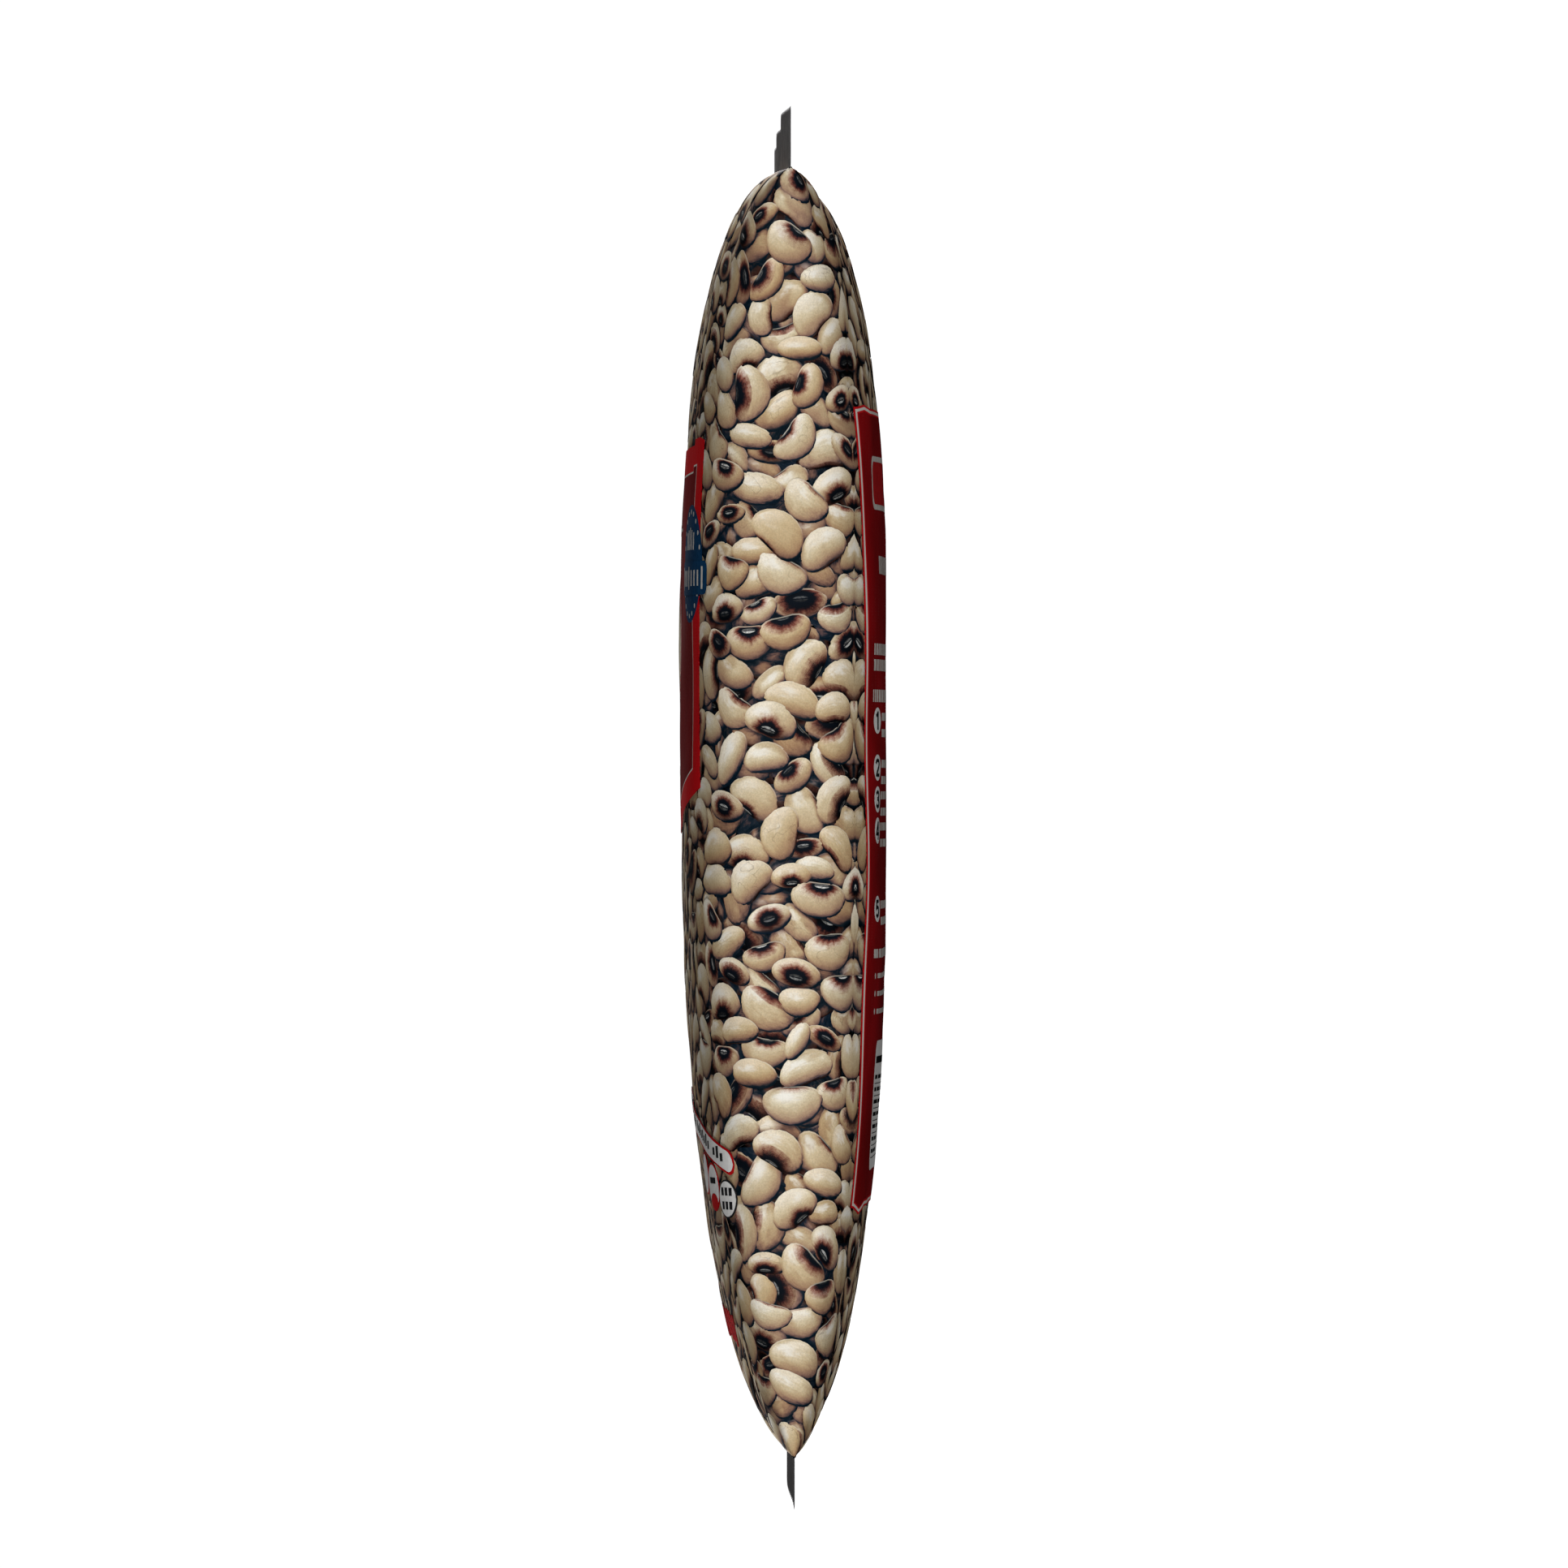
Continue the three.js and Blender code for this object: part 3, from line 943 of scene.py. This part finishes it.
def make_peas(material):
    """Heaps the peas, lays them again a little larger in order of height, and makes those that show."""
    rng = np.random.default_rng(11)
    peas = Peas(rng, PEA_COUNT)
    heap = Heap()
    for i in range(PEA_COUNT):
        heap.drop(peas, i, rng)
    peas.half_length *= PEA_SWELL
    peas.half_width *= PEA_SWELL
    order = np.argsort(peas.height, kind="stable")
    for i in order:
        heap.lay(peas, i)
    seen = {side: heap.shown(PEA_COUNT, side) > LEAST_CELLS for side in (0, 1, -1)}
    chosen = order[(seen[0] | seen[1] | seen[-1])[order]]
    levels = heap.stack(peas, chosen)
    group = PeaMeshes(peas, chosen)
    group.light_by(heap)
    rims = PEA_LOW + (PEA_HIGH - PEA_LOW) * (levels - 1) / (levels.max() - 1)
    group.lift(rims, heap.at(heap.owner, group.u, group.x) != chosen[:, None])
    for zone in ZONES:
        here = {side: in_zone(mirror(group.centre, side), zone) & seen[side][chosen] for side in seen}
        groups = [group.part(here[side], side) for side in seen]
        make_pea_piece("printed_peas_" + zone, groups, material)


# ---- The film ----

FILM_COLUMNS = 400  # a multiple of four, so that the teeth of both layers meet at the cut edges
FILM_ROWS = (30, 170, 34)  # of the bottom seal, the body and the top seal
SINK_REACH = 0.4  # from a seal to where the film is as deep as the print's ground
TOOTH = 0.9
RIB_HEIGHT = 0.04  # half that of the seals' fine ribs, which run along the bag, one to a tooth


def film_faces(rows, columns):
    """The triangles of the film, and of its cut edges, where the front layer is closed to the back one."""
    quads = grid_faces(rows, columns, closed=True)
    front = np.arange(columns // 4, 3 * columns // 4)  # from one fold over the front to the other
    behind = (columns // 2 - front) % columns
    past = (behind - 1) % columns
    before = np.stack([past, front + 1, front], -1)[:-1]
    after = np.stack([behind, past, front], -1)[1:]
    cap = np.concatenate([before, after])
    other_cap = cap[:, ::-1] + (rows - 1) * columns
    return np.concatenate([quads[:, [0, 1, 2]], quads[:, [0, 2, 3]], cap, other_cap])


def make_film():
    """The film itself, closed across its cut edges, with crimped seals."""
    xs = along_bag(*FILM_ROWS)
    us = -WIDTH + np.arange(FILM_COLUMNS) * 2 * WIDTH / FILM_COLUMNS
    grid = settle(film_grid(xs, us))
    into_seal = np.maximum(xs - BODY_END, BODY_START - xs)
    grid -= facing(grid) * SUNK * (-into_seal / SINK_REACH).clip(0, 1)[:, None, None]
    edge = np.minimum(into_seal, LENGTH / 2 - np.abs(xs)).clip(0, 1)
    odd = np.arange(FILM_COLUMNS) % 2
    grid[..., 2] += RIB_HEIGHT * edge[:, None] * (2 * odd - 1)
    grid[0, :, 0] += TOOTH * odd
    grid[-1, :, 0] -= TOOTH * odd
    film = make_piece("bag_film", grid.reshape(-1, 3), film_faces(*grid.shape[:2]), gap_material())
    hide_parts("bag")


# ---- The labels and their marks ----


def make_label(name, centre, half, edges, material, drawn_in=None):
    """A label's pad round its middle line, with the distance in from its edges at each point."""
    tab = np.array((TAB_FROM - 0.01, TAB_FROM + 0.26))
    w = np.unique(np.concatenate([span(-half, half, 1.2), -tab, tab]))
    w, x = block(w, *edges(w), 2.4)
    inset = insets(w.ravel(), x.ravel(), half, edges)
    if drawn_in:
        w = w * (1 - drawn_in(x) / half)
    pad = Pad()
    pad.add(w + centre, x, LABEL_BASE, LABEL_LIFT)
    pad.finish(name, material, print=np.concatenate([inset, inset]))


def make_labels():
    """The front's label and the back's, each with its bands of colour."""
    front = label_material("label_front", [(5.3, RED), (5.65, PALE)], DEEP_RED, 0.82)
    make_label("label_front", 0, FRONT_HALF, front_edges, front)
    back = label_material("label_back", [(0.47, RED), (1.03, PALE), (1.40, RED)], DARK_RED, 0.48)
    make_label("label_back", WIDTH, BACK_HALF, back_edges, back, waist)


class Marks:
    """Flat printed shapes, gathered by colour into pads and laid in layers on the film or on a label."""

    def __init__(self, pads, bottom):
        self.pads, self.bottom = pads, bottom
        self.rng = np.random.default_rng(5)  # for the lengths of words

    def lay(self, colour, shape, layer=1):
        """Lays a shape in a colour. Layers are heights: a higher one covers a lower one."""
        self.pads.setdefault(colour, Pad()).add(*shape, self.bottom, LABEL_LIFT + MARK_LIFT * layer)

    def outlined(self, shape, place, halves, outer, inner, margin, layer=1, more=()):
        """A shape in one colour, and over it the same in another, smaller by a margin."""
        for k, colour in enumerate((outer, inner)):
            wide, tall = (half - k * margin for half in halves)
            self.lay(colour, shape(*place, wide, tall, *more), layer + k)

    def words(self, w0, w1, x, thick, colour="pale", layer=1, longest=8.5, gap=1.5):
        """One line of bars of word lengths, or of letter widths, on the back."""
        at = w0
        while at < w1 - 2:
            end = min(at + self.rng.uniform(0.28, 1) * longest, w1)
            self.lay(colour, bar(WIDTH + at, WIDTH + end, x - thick / 2, x + thick / 2), layer)
            at = end + gap


BADGE_U, BADGE_X, BADGE_RADIUS, BADGE_BAND_X = 65.0, 49.1, 11.9, 46.2
PLAQUE_X, BACK_PLAQUE_X = 31, 65.5


def mark_front_label(marks):
    """A blue badge at each side, with bars for its letters, and a plaque between two rules."""
    for u in (BADGE_U, -BADGE_U):
        marks.lay("blue", oval(u, BADGE_X, BADGE_RADIUS, BADGE_RADIUS))
        for turn in np.arange(20) * math.pi / 10:
            marks.lay("pale", oval(u + 10.5 * math.cos(turn), BADGE_X + 10.5 * math.sin(turn), 0.5, 0.5), 2)
        marks.lay("blue", round_bar(u, BADGE_BAND_X, 14.7, 3.4, 1.7), 3)
        for k in range(-4, 5):
            tall = 1.6 if k % 4 else 2.3
            marks.lay("pale", letter(u + 3.0 * k, BADGE_BAND_X, 0.5, tall), 4)
        for k in range(-2, 3):
            marks.lay("pale", bar(u + 2.3 * k - 0.45, u + 2.3 * k + 0.45, 51.9, 56.4 - 0.5 * abs(k)), 2)
    marks.outlined(oval, (0, PLAQUE_X), (36, 21), "pale", "red", 0.8)
    marks.outlined(oval, (0, PLAQUE_X), (33.5, 18.5), "pale", "cream", 0.9, 3)
    for x in (56.5, 7.0):
        marks.lay("pale", bar(-30, 30, x, x + 0.7))
        marks.lay("pale", oval(0, x + 0.35, 3.0, 1.2), 2)


ARC_HALF, ARC_THICK = 88, 4.9  # of the banner, which lies along an arc
ARC_X, ARC_RADIUS = -60.1, 340
LETTER_HEIGHTS = (0.75, 1.2, 0.8, 1.05)  # halves, by turns
LETTERS_EACH_WAY, LETTER_PITCH = 34, 2.42
END_BADGES = ((65.5, -73.8), (74.5, -76.3), (83.9, -78.5))  # the places of those at each end of the banner
RED_ROW_X, RED_ROW_FROM, RED_ROW_PITCH = -103.3, 35.6, 5.1


def arc(u):
    """Where the banner's middle line is along the bag."""
    return ARC_X - ARC_RADIUS + np.sqrt(ARC_RADIUS**2 - u**2)


def banner(margin):
    """The banner's shape, with round ends, smaller by a margin."""
    end = ARC_THICK / 2
    tip = np.linspace(-ARC_HALF, end - ARC_HALF, 6)
    us = np.concatenate([tip, span(end - ARC_HALF, ARC_HALF - end, 2)[1:-1], -tip[::-1]])
    us = us * (ARC_HALF - margin) / ARC_HALF
    from_end = (ARC_HALF - margin - np.abs(us)).clip(0, end)
    reach = np.sqrt(end**2 - (end - from_end) ** 2) - margin
    reach = reach.clip(0.05) / np.cos(np.arcsin(us / ARC_RADIUS))
    return block(us, arc(us) - reach, arc(us) + reach)


def mark_end_badges(marks, side):
    """Three badges at one end of the banner: a bare one, one with a bar and a red foot, one with letters."""
    first, second, third = ((u * side, x) for u, x in END_BADGES)
    marks.outlined(oval, first, (4.4, 4.3), "red", "white", 0.4)
    marks.outlined(oval, second, (4.8, 4.9), "red", "white", 0.4)
    u, x = second
    marks.lay("ink", bar(u - 2.4, u + 2.4, x + 0.7, x + 1.9), 3)
    marks.lay("red", oval(u, x - 3.0, 3.2, 1.7), 3)
    marks.outlined(oval, third, (4.7, 3.9), "ink", "white", 0.35, 4)
    u, x = third
    for row in (x + 1.5, x - 1.3):
        for middle in (-2.1, 0.0, 2.1):
            marks.lay("ink", letter(u + middle, row, 0.7, 0.8), 6)


def mark_front_film(marks):
    """Lower on the front: a banner, three badges at each of its ends, and an oval in a row of red bars."""
    marks.lay("red", banner(0))
    marks.lay("white", banner(0.45), 2)
    for k in range(-LETTERS_EACH_WAY, LETTERS_EACH_WAY + 1):
        if k % 9 == 4:
            continue
        u = LETTER_PITCH * k
        x = arc(u) - 0.75
        marks.lay("ink", bar(u - 0.75, u + 0.75, x, x + 2 * LETTER_HEIGHTS[k % 4]), 3)
    for side in (1, -1):
        mark_end_badges(marks, side)
    marks.outlined(oval, (0, -103), (26, 6.5), "red", "white", 0.7)
    marks.lay("red", letter(0, -103, 15, 0.9), 3)
    for side in (1, -1):
        for k in range(8):
            u = (RED_ROW_FROM + RED_ROW_PITCH * k) * side
            x = RED_ROW_X - 2.0 * (u / 70) ** 2
            marks.lay("red", round_bar(u, x, 1.6, 3.2 if k % 3 else 2.7, 0.7))


DISC_U = WIDTH - 63.8
STEP_PLACES = (17.5, 8.0, 1.6, -4.7, -20.5)
NUMBER_HEIGHT, NUMBER_SPREAD = 3.7, 2.3  # how tall a number is, and how much wider than usual
NUMBERS = (  # the strokes of 1 to 5, in hundredths of a number's height
    (((-20, 24), (5, 40)), ((5, 50), (5, -50))),
    (((-24, 22), (-17, 36), (0, 41), (17, 36), (23, 21), (16, 3), (-20, -41), (28, -41)),),
    (
        ((-23, 29), (-6, 41), (13, 37), (20, 22), (12, 8), (-8, 3)),
        ((-8, 3), (14, -3), (22, -20), (14, -36), (-5, -41), (-25, -29)),
    ),
    (((8, 46), (-26, -18), (31, -18)), ((10, 50), (10, -50))),
    (((24, 41), (-16, 41), (-20, 3), (0, 10), (17, 4), (23, -14), (15, -34), (-5, -41), (-24, -30)),),
)
HEADINGS = ((-61, 60, 49, 3.6), (-69.5, 58, 31.9, 2.3), (-69.5, 44, 28.7, 2.3), (-69.5, 4, 22.5, 2.5))
NOTES = (-34, -37.6, -41.2)
PANELS = ((-59, -2), (2, 59))
PANEL_X, PANEL_ROWS, PANEL_PITCH = -60.3, 7, 2.5


def mark_step(marks, number, x, lines):
    """A step: its number on a disc, and two lines of words, the second shorter from step to step."""
    marks.lay("white", oval(DISC_U, x, 4.5, 2.65))
    for k, line in enumerate(lines):
        h, v = stroke(np.array(line) / 100, 0.09)
        places = (DISC_U + NUMBER_SPREAD * NUMBER_HEIGHT * h, x + NUMBER_HEIGHT * v)
        marks.lay("ink", places, 2 + 0.5 * k)
    marks.words(-57.5, 62, x + 0.8, 1.6)
    marks.words(-57.5, 40 - 6 * number, x - 2.5, 1.6)


def mark_panel(marks, start, end):
    """A white panel: a bar at its top, and ruled rows with words at both ends."""
    marks.lay("white", round_bar(WIDTH + (start + end) / 2, PANEL_X, (end - start) / 2, 13.1, 2.5))
    rule = (WIDTH + start + 2, WIDTH + end - 2)
    marks.lay("ink", bar(*rule, PANEL_X + 8.5, PANEL_X + 9.9), 2)
    for k in range(PANEL_ROWS):
        x = PANEL_X + 5.7 - PANEL_PITCH * k
        marks.words(start + 2, start + 30 + marks.rng.uniform(-6, 6), x, 0.8, "ink", 2)
        marks.words(end - 14, end - 2, x, 0.8, "ink", 2)
        marks.lay("ink", bar(*rule, x - 1.4, x - 1.25), 2)


def mark_back(marks):
    """The back: a plaque, headings, numbered steps, notes and two panels, with bars in place of words."""
    plaque = (WIDTH, BACK_PLAQUE_X)
    marks.outlined(round_bar, plaque, (66.5, 5.4), "pale", "red", 1.1, more=(2.4,))
    marks.outlined(oval, plaque, (21, 7.2), "pale", "cream", 0.6, 3)
    for start, end, x, thick in HEADINGS:
        marks.words(start, end, x, thick, longest=3.4, gap=1.0)
    for number, (x, lines) in enumerate(zip(STEP_PLACES, NUMBERS), 1):
        mark_step(marks, number, x, lines)
    marks.words(-68, 20, -29.5, 1.8)
    for x in NOTES:
        marks.lay("pale", oval(WIDTH - 66, x, 0.6, 0.6))
        marks.words(-63, 60, x, 1.0)
    for start, end in PANELS:
        mark_panel(marks, start, end)


def emblem(centre_u, centre_x, size):
    """Three peas side by side, larger than life, for the picture on a plaque."""
    peas = Peas(np.random.default_rng(3), 3)
    peas.half_length[:] = np.array((8.2, 9.4, 8.4)) * size
    peas.half_width[:] = peas.half_length * 0.70
    peas.half_depth[:] = peas.half_width * 0.8
    peas.turn[:] = (0.5, -0.15, 2.6)
    peas.roll[:] = (0.3, 1.3, 0.4)
    peas.bend[:] = 0.3
    peas.tilt[:] = 0
    peas.tint[:] = (0.7, 0.9, 0.6)
    peas.u[:] = centre_u + np.array((-14.5, 0, 14.5)) * size
    peas.x[:] = centre_x + np.array((-2.0, 2.2, -2.2)) * size
    peas.height[:] = (0, 2.5, 0)
    return peas


def make_emblems(material):
    """The plaques' peas, which stand a little above the labels."""
    groups = []
    for centre_u, centre_x, size in ((0.0, PLAQUE_X, 1.02), (WIDTH, BACK_PLAQUE_X, 0.42)):
        group = PeaMeshes(emblem(centre_u, centre_x, size), np.arange(3))
        group.light = np.stack([0 * group.tint + 1, 0 * group.tint, group.tint], -1)
        group.facing = group.facing * (0.55, 0.55, 1)  # softer light and shade than in the heap
        group.lift(LABEL_LIFT + MARK_LIFT * np.array((5.0, 6.5, 5.0)))
        groups.append(group.part(np.ones(3, bool), cut=2 * WIDTH))
    make_pea_piece("plaque_peas", groups, material)


# ---- The scene ----

FLOOR_HALF = 60.0
FLOOR_GREY = (0.36, 0.36, 0.36)
FLOOR_SEEN, FLOOR_LIGHT = 1.25, 0.19  # how bright the floor is to the camera, and as a light
WORLD_SEEN, WORLD_LIGHT = 1.05, 0.030  # the same of the backdrop


def make_floor():
    """A pale floor that runs out to the white of the backdrop, and throws some light up at the bag."""
    mesh = bpy.data.meshes.new("floor")
    corners = [(x * FLOOR_HALF, y * FLOOR_HALF, 0) for x, y in ((-1, -1), (1, -1), (1, 1), (-1, 1))]
    mesh.from_pydata(corners, [], [(0, 1, 2, 3)])
    s = Shader("floor")
    s.finish(FLOOR_GREY, 0.8, 0.1)
    away = s.vector("LENGTH", s.add("ShaderNodeTexCoord").outputs["Object"])
    path = s.add("ShaderNodeLightPath").outputs
    seen = path["Is Camera Ray"]
    bright = s.plus(s.times(seen, FLOOR_SEEN), s.times(path["Is Diffuse Ray"], FLOOR_LIGHT))
    glow = s.add("ShaderNodeEmission", {"Color": (1, 1, 1), "Strength": bright})
    share = s.math("MAXIMUM", s.step(away, 0.25, 1.4, 0.84, 1.0), s.math("SUBTRACT", 1.0, seen))
    s.show("Material Output", share, s.surface, glow)
    mesh.materials.append(s.material)
    floor = bpy.data.objects.new("floor", mesh)
    bpy.context.scene.collection.objects.link(floor)


def make_world():
    """White to the camera, and dim as a light."""
    world = bpy.data.worlds.new("studio")
    bpy.context.scene.world = world
    world.use_nodes = True
    n = Nodes(world.node_tree)
    seen = n.add("ShaderNodeLightPath").outputs["Is Camera Ray"]
    soft = n.tree.nodes["Background"]
    white = n.add("ShaderNodeBackground", {"Color": (1, 1, 1), "Strength": WORLD_SEEN})
    n.feed(soft.inputs["Color"], (1, 1, 1))
    n.feed(soft.inputs["Strength"], WORLD_LIGHT)
    n.show("World Output", seen, soft, white)


def make_light(name, place, size, power):
    """A soft light that faces the middle of the bag."""
    light = bpy.data.lights.new(name, "AREA")
    light.shape = "RECTANGLE"
    light.size, light.size_y = size
    light.energy = power
    lamp = bpy.data.objects.new(name, light)
    lamp.location = place
    aim = Vector((0, 0, high.z / 2)) - Vector(place)
    lamp.rotation_euler = aim.to_track_quat("-Z", "Y").to_euler()
    lamp.visible_camera = False
    bpy.context.scene.collection.objects.link(lamp)


CAMERA_DISTANCE = 2.9  # from the nearer end of the seals
CAMERA_X = 4.7 * MM
LENS = 334.0
KEY_POWER, BEHIND_POWER = 97, 84


def make_camera():
    """Level with the bag and square on to its narrow side, turned so that the top seal is up."""
    data = bpy.data.cameras.new("camera")
    data.sensor_width = 36.0
    data.lens = LENS
    camera = bpy.data.objects.new("camera", data)
    right, up, back = Vector((0, 0, -1)), Vector((1, 0, 0)), Vector((0, -1, 0))
    place = Vector((CAMERA_X, low.y - CAMERA_DISTANCE, (low.z + high.z) / 2))
    camera.matrix_world = Matrix.Translation(place) @ Matrix((right, up, back)).transposed().to_4x4()
    bpy.context.scene.collection.objects.link(camera)
    bpy.context.scene.camera = camera


make_camera()
make_world()
make_floor()
for name, side in (("left", -1), ("right", 1)):
    make_light("key_" + name, (2.2 * side, -2.4, 0.04), (0.7, 0.3), KEY_POWER)
    make_light("behind_" + name, (1.8 * side, 2.4, 0.42), (1.0, 0.5), BEHIND_POWER)
bpy.context.scene.view_settings.view_transform = "Standard"

make_film()
printed_peas = pea_material()
make_peas(printed_peas)
make_emblems(printed_peas)
make_labels()
pads = {}
mark_front_label(Marks(pads, MARK_BASE))
mark_front_film(Marks(pads, LABEL_BASE))
mark_back(Marks(pads, MARK_BASE))
for ink, pad in pads.items():
    pad.finish("marks_" + ink, ink_material("ink_" + ("black" if ink == "ink" else ink), *INKS[ink]))
